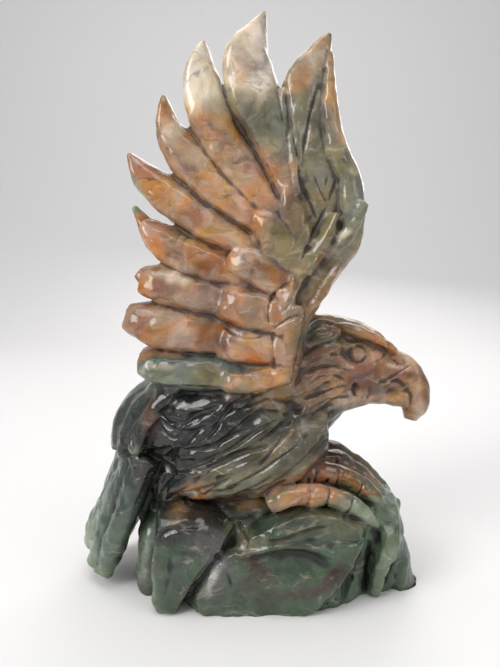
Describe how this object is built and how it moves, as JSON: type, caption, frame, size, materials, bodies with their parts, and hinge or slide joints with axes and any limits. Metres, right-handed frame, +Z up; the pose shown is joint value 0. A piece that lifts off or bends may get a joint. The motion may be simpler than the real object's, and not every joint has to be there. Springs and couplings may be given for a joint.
{
  "type": "stone eagle carving",
  "caption": "Eagle carved from one block of polished jasper, wings raised, hooked beak, perched on a rough rock with its tail hanging behind",
  "frame": {"origin": "Middle of the object's box, on the flat underside of the rock", "axes": "+X the way the eagle faces, -Y the side that shows most carving, +Z up"},
  "size_m": [0.128, 0.061, 0.19],
  "materials": {
    "jasper": "polished, with dark unpolished grooves"
  },
  "bodies": {
    "root": {"eagle_carving": "jasper"}
  },
  "joints": []
}
